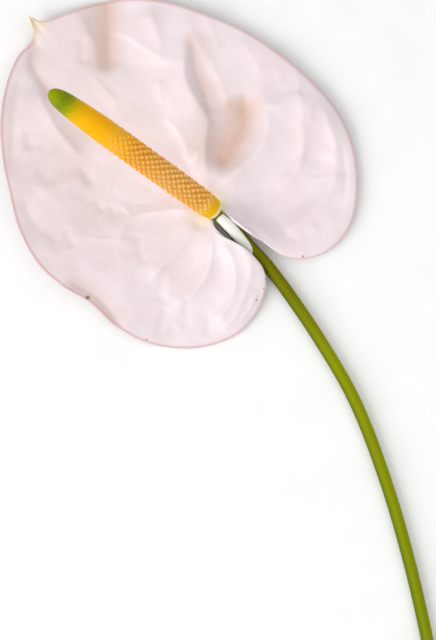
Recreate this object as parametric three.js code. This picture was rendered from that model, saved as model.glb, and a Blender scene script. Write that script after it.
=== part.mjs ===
// Anthurium cut flower lying face up, built as the real one is: a heart-shaped spathe, the spadix
// that rises from its root, and the cut stem that carries both.
// Millimetres, +Z up. The spathe's tip points to -X +Y and the stem runs away to +X -Y.
// Places in plan are measured from the joint, where stem, spathe and spadix meet.
import * as THREE from "three";

const { clamp, degToRad, lerp, smoothstep } = THREE.MathUtils;

// The joint, seen from the middle of the whole flower's footprint
const JOINT_X = -7;
const JOINT_Y = 99.6;
const JOINT_HEIGHT = 9;

// Pieces that touch on the real flower keep this gap
const SEAM = 0.3;

// Spathe: its sheet, and the part circle that its root makes round the joint
const BLADE_THICKNESS = 1;
const ROOT_THICKNESS = 1.3;
const ROOT_THICK_SHARE = 0.125;
const ROOT_RADIUS = 3.7;
const ROOT_CENTRE = [-0.6, 0];
const ROOT_START = 248;
const ROOT_SWEEP = -226;
const ROOT_LOW = 4.3;
const ROOT_HIGH = 6.8;

// The two lobes turn up beside the stem: how fast that fades round the blade, and its arch
const LOBE_END_POWER = 6;
const SINUS_RISE = 1.2;

// Rows of the sheet, as shares of the way from the root out to the margin
const COARSE_COLUMNS = 28;
const INNER_ROWS = [0, 0.04, 0.09];
const MIDDLE_ROWS = [0.15, 0.22, 0.29];
const OUTER_START = 0.36;
const OUTER_ROWS = 14;

// The blade is a shallow bowl. Each pair is a turn round the margin, and the depth there.
const BOWL_DEPTH = [
  [0, 0],
  [0.1, 0.8],
  [0.2, 3.1],
  [0.36, 7.9],
  [0.5, 3],
  [0.62, 2],
  [0.74, 3],
  [0.88, 5.3],
  [1, 0],
];
const BOWL_FLOOR = 0.4;
const BOWL_POWER = 1.5;
const LYING_DEPTH = 0.35;

// How far the edge curls up (or down, below zero) at each turn round the margin
const EDGE_CURL = [
  [0, -0.8],
  [0.12, -0.8],
  [0.24, 0.7],
  [0.42, 0.6],
  [0.5, 0],
  [0.66, -0.2],
  [0.8, -1.6],
  [1, -1],
];
const CURL_WIDTH = 3;

// The pointed tip stands up
const CUSP_RISE = 4;
const CUSP_SPREAD = 0.012;
const CUSP_POWER = 45;

// Spadix
const SPADIX_FOOT = [0.9, -0.7];
const SPADIX_LENGTH = 86.4;
const SPADIX_LEAN = 22;
const SPADIX_HEADING = 144.8;
const SPADIX_END_BULGE = 0.2;
const FLORETS_ROUND = 11;
const FLORET_ROWS = 58;
const FLORET_DEPTH = 0.75;
const FLORET_TWIST = 0.035;
const FULL_DEPTH_RADIUS = 3;
const STIPE_LENGTH = 5.8;
const FLORETS_START = STIPE_LENGTH - 1.5;
const FLORETS_FULL = STIPE_LENGTH + 3;
const RIPE_END = 42;
const SMOOTH_START = 60;
const UNRIPE_RELIEF = 0.2;

// Stem
const STEM_RADIUS = 2.5;
const SWELLING = 0.45;
const SWELLING_PLACE = 11;
const NECK_DEPTH = 0.35;
const NECK_LENGTH = 4;
const STEM_SIDES = 12;
const STEM_STEPS = 56;
const STEM_STEP_GROWTH = 1.2;
const STEM_HEADING_REACH = 0.5;
const STEM_LYING_HEIGHT = STEM_RADIUS * Math.cos(Math.PI / STEM_SIDES);
const CUT_SLANT = 0.8;

// Height of the spathe's edge is the third number of each margin point
const LEFT_MARGIN = [
  [15, -17.4, 7],
  [19, -22.4, 6.2],
  [20.5, -27.4, 5.2],
  [19.8, -33.5, 4.2],
  [16.5, -41, 2.8],
  [9.2, -49, 1.2],
  [-2.4, -54, 0],
  [-16, -54.9, 0],
  [-29, -52, 2.4],
  [-40.2, -45.4, 5],
  [-49.8, -36.4, 7],
  [-61.2, -29.6, 8.8],
  [-70.8, -20.4, 9.8],
  [-78, -6.8, 10.4],
  [-81.7, 7.6, 10.8],
  [-84.4, 21.2, 10.8],
  [-85.2, 35.6, 10],
  [-83, 50.6, 7.8],
  [-78.2, 62.4, 5.4],
  [-73.6, 67, 4.6],
  [-72.2, 70.8, 4.4],
  [-73.2, 74.4, 4.4],
  [-74, 76.9, 4.4],
];
const RIGHT_MARGIN = [
  [-74, 76.9, 4.4],
  [-71.2, 75.4, 4.4],
  [-67, 76.3, 4.4],
  [-57.2, 79.9, 4],
  [-46, 83.3, 2.8],
  [-32, 84.9, 4.4],
  [-17, 82.9, 5],
  [-2, 78, 3.8],
  [13.2, 71.2, 3.6],
  [27.6, 61.6, 4.4],
  [41.2, 49.6, 4],
  [50.8, 37.2, 3.6],
  [56, 23.2, 3.4],
  [57.2, 8.4, 3.6],
  [54, -6.4, 4],
  [45.8, -15.8, 4.6],
  [35, -19.3, 5.2],
  [27.2, -18, 5.8],
  [21.4, -14.4, 6.4],
];

// How far the two edges beside the stem bow out from a straight line, and how far round the
// blade that reaches. The bow is largest near the root.
const LEFT_SINUS_BOW = [-1.65, -2];
const RIGHT_SINUS_BOW = [-0.4, -0.45];
const SINUS_BOW_REACH = 0.32;
const BOW_PEAK = 27 / 256;

// Ridges and valleys of the blade. Each has the line that its crest or floor follows, from the
// joint outward, its height (below zero for a valley), and its spread to the left and right.
const FOLDS = [
  // The lip above the spadix, and the crease that it drops into further out
  {
    line: [[-3.2, 12.4], [-4, 18.4], [-4, 28.4], [-3.2, 37.2], [-8, 44.4], [-12.4, 54.4], [-11.2, 70.4]],
    height: 2.8, left: 9, right: 3.5,
  },
  {
    line: [[-1.4, 33], [-2.4, 40], [-4.8, 48.4], [-7.8, 57], [-8.8, 65], [-12, 76.4]],
    height: -1.8, left: 3, right: 8,
  },
  // The rib that bends in a knee, and the broad valley below it
  {
    line: [[-1.2, 35.6], [2, 38], [4.4, 41.6], [3.8, 47.4], [1, 54.4], [-5.2, 64.4], [-9, 71], [-14, 79]],
    height: 1.8, left: 6, right: 9,
  },
  {
    line: [[1.6, 13], [3.6, 20.4], [7.2, 27], [10.4, 32.4], [11.8, 38], [11.6, 44], [10.8, 50]],
    height: -2.8, left: 10, right: 4.5,
  },
  // Ribs of the upper lobe
  {
    line: [[1.6, 9.6], [10, 17.8], [16.8, 23.4], [20.2, 30.4], [21, 36], [20.4, 42.8], [18, 52]],
    height: 2.6, left: 3.6, right: 9,
  },
  {
    line: [[20, 6], [28.4, 12.4], [33, 17.4], [35, 23], [35.2, 30], [34.8, 36], [35, 42.6], [33, 52]],
    height: 2.2, left: 3.8, right: 8,
  },
  {
    line: [[42, 18.4], [47, 21.6], [48.4, 25.6], [46.8, 30.8], [44.8, 36.4], [44, 44]],
    height: 1.6, left: 3.6, right: 3.6,
  },
  {
    line: [[26, -10], [34.8, -3.6], [40, 0.8], [44.4, 5.6], [47.4, 11], [48.2, 15.4], [45.4, 20]],
    height: 1.9, left: 4.4, right: 4,
  },
  { line: [[50, 30], [52, 18], [51.6, 6], [47, -5]], height: -0.8, left: 2.6, right: 2.8 },
  { line: [[3.4, 3.2], [8.4, 0.6], [12.4, -3], [18.4, -7.8], [26, -14]], height: 0.9, left: 3.6, right: 2.4 },
  // The broad valley near the tip, and the shoulders on either side of it
  {
    line: [[-42.8, 52], [-42.8, 57.4], [-43, 64.4], [-43, 72.4], [-43.6, 94]],
    height: -2.5, left: 8, right: 4.5,
  },
  { line: [[-47.6, 50], [-47.4, 59.6], [-48.6, 66], [-51.4, 71.6], [-55, 80]], height: 1, left: 5, right: 3 },
  { line: [[-21.6, 57], [-22, 63], [-22.4, 67.2], [-24, 73], [-27, 82]], height: 1.3, left: 6, right: 2.6 },
  // The bent crease behind the tip, and the ridge that runs from it past the spadix's end
  {
    line: [[-64, 41], [-67.6, 49], [-71.4, 54.6], [-73.4, 59.6], [-72, 65.4], [-69.6, 71]],
    height: -1.6, left: 2.2, right: 3.4,
  },
  {
    line: [[-52, 19], [-58.4, 26.6], [-64, 33.6], [-68, 41.6], [-72.4, 52]],
    height: 1.6, left: 6, right: 2.4,
  },
  // Groove inside the left margin, and the soft folds beside it
  { line: [[-80, 12], [-81.2, 22], [-80.6, 34], [-79.2, 46], [-76, 57]], height: -1, left: 2.2, right: 5 },
  { line: [[-50, 14.4], [-58, 11.8], [-66.8, 8.4], [-71, 5]], height: 1.2, left: 3, right: 3 },
  { line: [[-58, -13], [-66, -10.4], [-73.6, -3], [-77, 9]], height: -1, left: 4, right: 4 },
  // Ribs of the lower lobe, in a fan round the joint
  {
    line: [[-4, 0], [-14, 0.8], [-23.2, 0], [-30.8, -1.6], [-36, -5.2], [-38.4, -10.8], [-38, -17]],
    height: 1.7, left: 2.6, right: 5,
  },
  {
    line: [[-5, -3], [-9.2, -8.4], [-12.8, -13.6], [-17.2, -18.4], [-22, -22.8], [-27, -30]],
    height: 2, left: 3.4, right: 3.6,
  },
  {
    line: [[-3.6, -4], [-1.8, -10], [-1.2, -16], [-2.4, -23], [-6, -30], [-12, -35.6], [-21, -38.8]],
    height: 2.3, left: 3.4, right: 4.4,
  },
  {
    line: [[0, -8], [4.8, -15.6], [7.6, -22], [8, -28.8], [6.4, -35.6], [2.8, -42], [-4, -48]],
    height: 2, left: 3.6, right: 3.2,
  },
  {
    line: [[7, -12], [12.8, -18], [14.4, -24], [13.2, -30], [11.2, -35.6], [8.4, -42], [1, -50]],
    height: 1.3, left: 3.2, right: 3,
  },
  // The rolled edge at the waist of the lower left margin
  {
    line: [[-62, -27], [-52.8, -31], [-46.4, -35.4], [-41.6, -41], [-36, -48]],
    height: -1.6, left: 5, right: 2.2,
  },
];
const FOLD_SAMPLES = 24;
const FOLD_END_FADE = 0.22;
const FOLD_ROUNDING = 0.6;
const FOLD_START_SHARE = 0.12;

// Along and radius, from the joint to the tip
const SPADIX_PROFILE = [
  [0, 3.1],
  [0.9, 3.8],
  [4, 4.6],
  [8.5, 5.15],
  [16, 5.3],
  [24, 5.4],
  [50, 5.35],
  [64, 5],
  [74, 4.5],
  [79.6, 4],
  [83, 3.3],
  [85, 2.3],
  [86, 1.2],
  [SPADIX_LENGTH, 0.3],
];

const STEM_ROUTE = [
  [0.45, -1.55],
  [2.9, -3.5],
  [5.7, -6],
  [9.3, -9.8],
  [13.7, -14.3],
  [19.6, -20.2],
  [24.6, -26.4],
  [30.6, -34.6],
  [42, -51.6],
  [55.8, -75.6],
  [68.2, -107.6],
  [77.6, -139.6],
  [85, -171.6],
  [90, -198.4],
  [93.6, -231.6],
  [96, -264.8],
  [97, -282],
];

// Many divisions keep the steps along a curve even
const CURVE_DIVISIONS = 800;

function smoothCurve(points) {
  const curve = new THREE.CatmullRomCurve3(points.map(([x, y, z = 0]) => new THREE.Vector3(x, y, z)));
  curve.arcLengthDivisions = CURVE_DIVISIONS;
  return curve;
}

function indexedGeometry(points, faces) {
  const geometry = new THREE.BufferGeometry();
  const places = points.flatMap((point) => [point.x, point.y, point.z]);
  geometry.setAttribute("position", new THREE.Float32BufferAttribute(places, 3));
  geometry.setIndex(faces.flat());
  geometry.computeVertexNormals();
  return geometry;
}

// Eases from each [place, value] pair to the next
function eased(pairs, place) {
  let total = pairs[0][1];
  for (let i = 1; i < pairs.length; i++) {
    const [start, value] = pairs[i - 1];
    const [end, nextValue] = pairs[i];
    total += (nextValue - value) * smoothstep(place, start, end);
  }
  return total;
}

// Where a place in plan lies beside a fold's line: its share of the way along and its distance
// to the left (above zero) or right of it
function besideLine(samples, x, y) {
  let best = { along: 0, offset: Infinity };
  for (let i = 0; i < samples.length - 1; i++) {
    const start = samples[i];
    const run = { x: samples[i + 1].x - start.x, y: samples[i + 1].y - start.y };
    const lengthSquared = run.x * run.x + run.y * run.y;
    const reach = ((x - start.x) * run.x + (y - start.y) * run.y) / lengthSquared;
    const step = clamp(reach, 0, 1);
    const gapX = x - start.x - run.x * step;
    const gapY = y - start.y - run.y * step;
    const side = Math.sign(run.x * gapY - run.y * gapX);
    const offset = side * Math.hypot(gapX, gapY);
    if (Math.abs(offset) < Math.abs(best.offset)) {
      best = { along: (i + step) / (samples.length - 1), offset };
    }
  }
  return best;
}

const foldLines = FOLDS.map((fold) => smoothCurve(fold.line).getSpacedPoints(FOLD_SAMPLES));

// A fold's crest is a narrow bend with slopes that fade on both sides
function foldRelief(x, y) {
  let relief = 0;
  FOLDS.forEach((fold, index) => {
    const { along, offset } = besideLine(foldLines[index], x, y);
    const spread = offset > 0 ? fold.left : fold.right;
    const ends = smoothstep(Math.min(along, 1 - along), 0, FOLD_END_FADE);
    const rounded = Math.hypot(offset, FOLD_ROUNDING) - FOLD_ROUNDING;
    relief += fold.height * ends * Math.exp(-rounded / spread);
  });
  return relief;
}

const leftMargin = smoothCurve(LEFT_MARGIN);
const rightMargin = smoothCurve(RIGHT_MARGIN);

// Turn runs from the lower lobe's edge clockwise to the upper lobe's, with the tip at one half
function marginPoint(turn) {
  return turn < 0.5 ? leftMargin.getPointAt(2 * turn) : rightMargin.getPointAt(2 * turn - 1);
}

// 1 at the two edges beside the stem, and 0 round most of the blade
function nearLobeEnd(turn) {
  return Math.abs(2 * turn - 1) ** LOBE_END_POWER;
}

// The root is a part circle that passes below the spadix. Its two ends rise beside the stem.
function rootPoint(turn) {
  const angle = degToRad(ROOT_START + ROOT_SWEEP * turn);
  return new THREE.Vector3(
    ROOT_CENTRE[0] + ROOT_RADIUS * Math.cos(angle),
    ROOT_CENTRE[1] + ROOT_RADIUS * Math.sin(angle),
    lerp(ROOT_LOW, ROOT_HIGH, nearLobeEnd(turn)),
  );
}

// A place of the blade in plan, where share runs from the root to the margin
function bladePlan(turn, share, root, margin) {
  const bow = (share * (1 - share) ** 3) / BOW_PEAK;
  const leftBow = bow * Math.max(0, 1 - turn / SINUS_BOW_REACH);
  const rightBow = bow * Math.max(0, 1 - (1 - turn) / SINUS_BOW_REACH);
  const place = new THREE.Vector3().lerpVectors(root, margin, share);
  place.x += LEFT_SINUS_BOW[0] * leftBow + RIGHT_SINUS_BOW[0] * rightBow;
  place.y += LEFT_SINUS_BOW[1] * leftBow + RIGHT_SINUS_BOW[1] * rightBow;
  return place;
}

// Underside of the blade before it is pressed flat on the surface
function bladeUnderside(turn, share) {
  const margin = marginPoint(turn);
  const place = bladePlan(turn, share, rootPoint(turn), margin);
  const arch = 4 * SINUS_RISE * nearLobeEnd(turn) * share * (1 - share);
  const bowl = (share / BOWL_FLOOR) * ((1 - share) / (1 - BOWL_FLOOR)) ** BOWL_POWER;
  const edgeDistance = Math.hypot(margin.x - place.x, margin.y - place.y);
  const curl = eased(EDGE_CURL, turn) * Math.exp(-edgeDistance / CURL_WIDTH);
  const cusp = CUSP_RISE * Math.exp(-(((turn - 0.5) / CUSP_SPREAD) ** 2)) * share ** CUSP_POWER;
  const relief = foldRelief(place.x, place.y) * smoothstep(share, 0, FOLD_START_SHARE);
  place.z += arch - eased(BOWL_DEPTH, turn) * bowl + curl + cusp + relief;
  return place;
}

// Rows across the blade are closer near the root and have fewer columns there
function bladeRows() {
  const rows = [];
  for (const share of INNER_ROWS) rows.push({ share, columns: COARSE_COLUMNS });
  for (const share of MIDDLE_ROWS) rows.push({ share, columns: 2 * COARSE_COLUMNS });
  for (let step = 0; step <= OUTER_ROWS; step++) {
    rows.push({ share: lerp(OUTER_START, 1, step / OUTER_ROWS), columns: 4 * COARSE_COLUMNS });
  }
  return rows;
}

// Triangles between two rows of vertex numbers, where the outer row may have twice the columns
function bridgeRows(inner, outer) {
  const faces = [];
  const doubled = outer.length > inner.length;
  for (let i = 0; i < inner.length - 1; i++) {
    if (doubled) {
      faces.push([inner[i], outer[2 * i + 1], outer[2 * i]]);
      faces.push([inner[i], inner[i + 1], outer[2 * i + 1]]);
      faces.push([inner[i + 1], outer[2 * i + 2], outer[2 * i + 1]]);
    } else {
      faces.push([inner[i], inner[i + 1], outer[i + 1]]);
      faces.push([inner[i], outer[i + 1], outer[i]]);
    }
  }
  return faces;
}

// The sheet's top stands its thickness above the underside, and where the sheet lies on the
// surface both are pressed flat
function spatheGeometry() {
  const points = [];
  const above = [];
  const below = [];
  for (const { share, columns } of bladeRows()) {
    const thickness = lerp(ROOT_THICKNESS, BLADE_THICKNESS, Math.min(1, share / ROOT_THICK_SHARE));
    const topRow = [];
    const underRow = [];
    for (let i = 0; i <= columns; i++) {
      const place = bladeUnderside(i / columns, share);
      underRow.push(points.push(place.clone().setZ(Math.max(0, place.z))) - 1);
      topRow.push(points.push(place.setZ(Math.max(-LYING_DEPTH, place.z) + thickness)) - 1);
    }
    above.push(topRow);
    below.push(underRow);
  }
  const last = above.length - 1;
  const faces = [];
  for (let row = 0; row < last; row++) {
    faces.push(...bridgeRows(above[row], above[row + 1]));
    faces.push(...bridgeRows(below[row], below[row + 1]).map(([a, b, c]) => [a, c, b]));
  }
  const column = (rows, end) => rows.map((row) => row.at(end));
  faces.push(...bridgeRows(above[last], below[last]));
  faces.push(...bridgeRows(below[0], above[0]));
  faces.push(...bridgeRows(column(above, 0), column(below, 0)));
  faces.push(...bridgeRows(column(below, -1), column(above, -1)));
  return indexedGeometry(points, faces);
}

// A closed body through rings of points, with a middle point at both ends
function loft(rings, startPoint, endPoint, split) {
  const count = rings[0].length;
  const points = [startPoint, endPoint, ...rings.flat()];
  const at = (ring, i) => 2 + ring * count + (i % count);
  const faces = [];
  for (let i = 0; i < count; i++) {
    faces.push([0, at(0, i + 1), at(0, i)]);
    faces.push([1, at(rings.length - 1, i), at(rings.length - 1, i + 1)]);
    for (let ring = 0; ring < rings.length - 1; ring++) {
      const corners = [at(ring, i), at(ring, i + 1), at(ring + 1, i + 1), at(ring + 1, i)];
      const [a, b, c, d] = split(ring, i) ? [...corners.slice(1), corners[0]] : corners;
      faces.push([a, b, c], [a, c, d]);
    }
  }
  return indexedGeometry(points, faces);
}

// Depth of the gaps between florets: none on the stipe, and little where they are still closed
function floretDepth(along, radius) {
  const pastStipe = smoothstep(along, FLORETS_START, FLORETS_FULL);
  const ripeness = lerp(1, UNRIPE_RELIEF, smoothstep(along, RIPE_END, SMOOTH_START));
  return FLORET_DEPTH * pastStipe * ripeness * Math.min(1, radius / FULL_DEPTH_RADIUS);
}

// Florets stand in slanting rows: every second point of every ring is a floret's top
function spadixGeometry() {
  const profile = smoothCurve(SPADIX_PROFILE);
  const isTop = (ring, i) => (ring + i) % 2 === 0;
  const rings = [];
  for (let ring = 0; ring <= FLORET_ROWS; ring++) {
    const { x: along, y: radius } = profile.getPointAt(ring / FLORET_ROWS);
    const round = [];
    for (let i = 0; i < 2 * FLORETS_ROUND; i++) {
      const angle = (Math.PI * i) / FLORETS_ROUND + FLORET_TWIST * ring;
      const reach = isTop(ring, i) ? radius : radius - floretDepth(along, radius);
      round.push(new THREE.Vector3(along, reach * Math.cos(angle), reach * Math.sin(angle)));
    }
    rings.push(round);
  }
  const start = new THREE.Vector3(0, 0, 0);
  const end = new THREE.Vector3(SPADIX_LENGTH + SPADIX_END_BULGE, 0, 0);
  return loft(rings, start, end, (ring, i) => isTop(ring, i));
}

// Half thickness of the stem: slim at the joint, swollen just behind it, then even
function stemRadius(distance) {
  const swelling = SWELLING * Math.exp(-(((distance - SWELLING_PLACE) / SWELLING_PLACE) ** 2));
  const neck = NECK_DEPTH * Math.exp(-((distance / NECK_LENGTH) ** 2));
  return STEM_RADIUS + swelling - neck;
}

// The stem leaves the joint in line with the spadix and sinks on to the surface it lies on
function stemGeometry() {
  const route = smoothCurve(STEM_ROUTE);
  const length = route.getLength();
  const drop = JOINT_HEIGHT - STEM_LYING_HEIGHT;
  const dropLength = (2 * drop) / Math.tan(degToRad(SPADIX_LEAN));
  const centre = (distance) => {
    const lift = Math.max(0, 1 - distance / dropLength) ** 2;
    return route.getPointAt(distance / length).setZ(STEM_LYING_HEIGHT + drop * lift);
  };
  const rings = [];
  for (let step = 0; step <= STEM_STEPS; step++) {
    const distance = length * (step / STEM_STEPS) ** STEM_STEP_GROWTH;
    const ahead = centre(Math.min(length, distance + STEM_HEADING_REACH));
    const behind = centre(Math.max(0, distance - STEM_HEADING_REACH));
    const heading = ahead.sub(behind).normalize();
    const across = new THREE.Vector3(heading.y, -heading.x, 0).normalize();
    const upward = new THREE.Vector3().crossVectors(across, heading);
    const slant = step === STEM_STEPS ? CUT_SLANT : 0;
    const round = [];
    for (let side = 0; side < STEM_SIDES; side++) {
      const angle = (2 * Math.PI * (side + 0.5)) / STEM_SIDES;
      const sideways = stemRadius(distance) * Math.sin(angle);
      const point = centre(distance).addScaledVector(across, sideways);
      point.addScaledVector(upward, stemRadius(distance) * Math.cos(angle));
      round.push(point.addScaledVector(heading, slant * sideways));
    }
    rings.push(round);
  }
  return loft(rings, centre(0), centre(length), () => false);
}

function finish(color, roughness) {
  return new THREE.MeshStandardMaterial({ color, roughness, metalness: 0 });
}

const flower = new THREE.Group();
flower.position.set(JOINT_X, JOINT_Y, 0);

const stem = new THREE.Mesh(stemGeometry(), finish(0x849208, 0.45));
stem.name = "stem";
flower.add(stem);

const spathe = new THREE.Mesh(spatheGeometry(), finish(0xf3e6e4, 0.35));
spathe.name = "spathe";
flower.add(spathe);

const spadix = new THREE.Mesh(spadixGeometry(), finish(0xefb043, 0.6));
spadix.name = "spadix";
spadix.rotation.order = "ZYX";
spadix.rotation.set(0, degToRad(-SPADIX_LEAN), degToRad(SPADIX_HEADING));
const outward = new THREE.Vector3(1, 0, 0).applyEuler(spadix.rotation);
spadix.position.set(...SPADIX_FOOT, JOINT_HEIGHT).addScaledVector(outward, SEAM);
flower.add(spadix);

export default flower;
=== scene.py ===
# %% [markdown]
# # A cut anthurium, lying face up
#
# The flower has three pieces: the green stem, the heart-shaped white spathe, which is a waxy leaf
# and not a petal, and the spadix, the finger of tiny florets. Their sizes and places are already
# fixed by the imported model. This lesson gives each of them its fine shape and its finish.

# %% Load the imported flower
import math

import bpy
import numpy as np
from mathutils import Matrix, Vector, noise


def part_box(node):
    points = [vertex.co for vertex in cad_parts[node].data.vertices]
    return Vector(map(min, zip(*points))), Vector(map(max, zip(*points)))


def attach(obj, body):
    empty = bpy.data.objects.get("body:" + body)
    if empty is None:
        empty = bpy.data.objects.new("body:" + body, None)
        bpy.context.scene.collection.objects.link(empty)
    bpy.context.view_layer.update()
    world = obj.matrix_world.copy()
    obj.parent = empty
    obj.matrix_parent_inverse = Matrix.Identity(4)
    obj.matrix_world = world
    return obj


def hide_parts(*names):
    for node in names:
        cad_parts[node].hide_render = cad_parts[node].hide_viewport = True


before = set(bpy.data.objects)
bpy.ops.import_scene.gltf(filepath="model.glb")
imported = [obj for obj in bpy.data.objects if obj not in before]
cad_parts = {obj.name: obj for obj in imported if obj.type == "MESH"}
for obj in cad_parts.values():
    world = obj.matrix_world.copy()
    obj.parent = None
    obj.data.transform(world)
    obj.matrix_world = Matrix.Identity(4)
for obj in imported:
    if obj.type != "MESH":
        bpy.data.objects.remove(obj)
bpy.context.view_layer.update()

# %% [markdown]
# ## Working units
#
# The flower was measured in millimetres from its joint, the place where stem, spathe and spadix
# meet. All the shapes below are worked out in those millimetres, and one function moves them to
# their place. Blender itself counts in metres.

# %% Millimetres, the joint and smooth lines
MM = 0.001
JOINT_HEIGHT = 9.0
SPADIX_FOOT = np.array([0.9, -0.7, JOINT_HEIGHT])
STEPS_BETWEEN_KNOTS = 40


def smooth_line(points, count):
    """Even steps along a smooth curve through the points (a centripetal Catmull-Rom spline)."""
    knots = np.array(points, float)
    knots = np.vstack([2 * knots[0] - knots[1], knots, 2 * knots[-1] - knots[-2]])
    steps = np.linspace(0, 1, STEPS_BETWEEN_KNOTS, endpoint=False)[:, None]
    pieces = []
    for before, start, end, after in zip(knots, knots[1:], knots[2:], knots[3:]):
        first = math.sqrt(math.dist(before, start))
        middle = math.sqrt(math.dist(start, end))
        last = math.sqrt(math.dist(end, after))
        leave = (start - before) / first - (end - before) / (first + middle) + (end - start) / middle
        arrive = (end - start) / middle - (after - start) / (middle + last) + (after - end) / last
        leave = leave * middle
        arrive = arrive * middle
        square = -3 * start + 3 * end - 2 * leave - arrive
        cube = 2 * start - 2 * end + leave + arrive
        pieces.append(start + leave * steps + square * steps**2 + cube * steps**3)
    curve = np.vstack(pieces + [knots[-2:-1]])
    travelled = np.concatenate([[0], np.cumsum(np.linalg.norm(np.diff(curve, axis=0), axis=1))])
    wanted = np.linspace(0, travelled[-1], count)
    sides = [np.interp(wanted, travelled, curve[:, axis]) for axis in range(curve.shape[1])]
    return np.stack(sides, axis=1)


def smoothstep(value, low, high):
    """Rises gently from 0 at low to 1 at high."""
    share = np.clip((value - low) / (high - low), 0, 1)
    return share * share * (3 - 2 * share)


# %% [markdown]
# ## The outline of the spathe
#
# Seen from above, a spathe is a heart with its notch at the stem and a short pointed tip opposite.
# Its edge also waves up and down, so each point of the outline has a height: the lower lobe's edge
# lies on the table and the rest is lifted. The two margins run from the notch to the tip and on.

# %% Outline of the spathe, with the height of its edge
LEFT_MARGIN = [
    (15, -17.4, 7), (19, -22.4, 6.2), (20.5, -27.4, 5.2), (19.8, -33.5, 4.2), (16.5, -41, 2.8),
    (9.2, -49, 1.2), (-2.4, -54, 0), (-16, -54.9, 0), (-29, -52, 2.4), (-40.2, -45.4, 5),
    (-49.8, -36.4, 7), (-61.2, -29.6, 8.8), (-70.8, -20.4, 9.8), (-78, -6.8, 10.4), (-81.7, 7.6, 10.8),
    (-84.4, 21.2, 10.8), (-85.2, 35.6, 10), (-83, 50.6, 7.8), (-78.2, 62.4, 5.4), (-73.6, 67, 4.6),
    (-72.2, 70.8, 4.4), (-73.2, 74.4, 4.4), (-74, 76.9, 4.4),
]
RIGHT_MARGIN = [
    (-74, 76.9, 4.4), (-71.2, 75.4, 4.4), (-67, 76.3, 4.4), (-57.2, 79.9, 4), (-46, 83.3, 2.8),
    (-32, 84.9, 4.4), (-17, 82.9, 5), (-2, 78, 3.8), (13.2, 71.2, 3.6), (27.6, 61.6, 4.4),
    (41.2, 49.6, 4), (50.8, 37.2, 3.6), (56, 23.2, 3.4), (57.2, 8.4, 3.6), (54, -6.4, 4),
    (45.8, -15.8, 4.6), (35, -19.3, 5.2), (27.2, -18, 5.8), (21.4, -14.4, 6.4),
]
MARGIN_POINTS = 801
left_margin = smooth_line(LEFT_MARGIN, MARGIN_POINTS)
right_margin = smooth_line(RIGHT_MARGIN, MARGIN_POINTS)

spathe_low, spathe_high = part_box("spathe")
joint_x = spathe_low[0] / MM - left_margin[:, 0].min()
joint_y = spathe_high[1] / MM - right_margin[:, 1].max()
print("joint, mm from the middle of the footprint:", round(joint_x, 1), round(joint_y, 1))


def in_frame(points):
    """Millimetres from the joint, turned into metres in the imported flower's frame."""
    return (np.asarray(points, float) + (joint_x, joint_y, 0)) * MM


# %% [markdown]
# ## The camera
#
# The picture was taken from straight above, at 0.4 mm to a pixel. A long lens far away keeps the
# spadix, which stands towards the camera, from looking too large.

# %% Camera straight above the flower
PICTURE_SIZE = (436, 640)
MM_PER_PIXEL = 0.4
JOINT_PIXEL = (215, 211)
CAMERA_HEIGHT = 1500
SPATHE_HEIGHT = 5
SENSOR = 36
FAR_CLIP = 100

aim_x = (PICTURE_SIZE[0] / 2 - JOINT_PIXEL[0]) * MM_PER_PIXEL
aim_y = (JOINT_PIXEL[1] - PICTURE_SIZE[1] / 2) * MM_PER_PIXEL
bpy.ops.object.camera_add(location=in_frame((aim_x, aim_y, CAMERA_HEIGHT)), rotation=(0, 0, 0))
camera = bpy.context.object
camera.data.sensor_width = SENSOR
camera.data.lens = SENSOR * (CAMERA_HEIGHT - SPATHE_HEIGHT) / (PICTURE_SIZE[1] * MM_PER_PIXEL)
camera.data.clip_end = FAR_CLIP
bpy.context.scene.camera = camera
print("lens, mm:", round(camera.data.lens, 1))

# %% [markdown]
# ## Nodes and colours
#
# Colours are written as they look on a screen, in sRGB hex, and one function turns them into the
# linear light values that shaders need. One more adds a node with its settings and links, and the
# last one lays a tint over a colour.

# %% Helpers for materials
# A Mix node repeats its socket names for each kind of data, so its colour sockets go by number
COLOUR_A, COLOUR_B, COLOUR_OUT = 6, 7, 2


def linear(hex_colour):
    """An sRGB hex colour such as "f3e6e4" as linear red, green, blue and alpha."""
    parts = [int(hex_colour[i:i + 2], 16) / 255 for i in (0, 2, 4)]
    return [p / 12.92 if p <= 0.04045 else ((p + 0.055) / 1.055) ** 2.4 for p in parts] + [1]


def add_node(tree, kind, inputs=None, stops=None, **settings):
    """Adds a node. Inputs are values or the outputs they link to, and stops fill a colour ramp."""
    node = tree.nodes.new(kind)
    for name, value in settings.items():
        setattr(node, name, value)
    for name, value in (inputs or {}).items():
        if isinstance(value, bpy.types.NodeSocket):
            tree.links.new(value, node.inputs[name])
        else:
            node.inputs[name].default_value = value
    for index, (position, colour) in enumerate(stops or []):
        elements = node.color_ramp.elements
        element = elements[index] if index < len(elements) else elements.new(position)
        element.position, element.color = position, linear(colour)
    return node


def new_material(name):
    """An empty node material with its output node."""
    material = bpy.data.materials.new(name)
    material.use_nodes = True
    material.node_tree.nodes.clear()
    output = material.node_tree.nodes.new("ShaderNodeOutputMaterial")
    return material, material.node_tree, output.inputs["Surface"]


def tinted(tree, base, value, full, gone, colour, strength, easing="SMOOTHSTEP"):
    """Lays a colour over the base, at its strength where value is full and fading away to gone."""
    amount = add_node(
        tree,
        "ShaderNodeMapRange",
        {"Value": value, "From Min": full, "From Max": gone, "To Min": strength, "To Max": 0},
        interpolation_type=easing,
    )
    mixed = add_node(
        tree,
        "ShaderNodeMix",
        {"Factor": amount.outputs["Result"], COLOUR_A: base, COLOUR_B: linear(colour)},
        data_type="RGBA",
    )
    return mixed.outputs[COLOUR_OUT]


# %% [markdown]
# ## The studio
#
# A pale seamless floor and soft light. The light in the picture comes from the lower left: slopes
# that face that way are the bright ones, and the spadix is darker along its upper right side.

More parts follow.
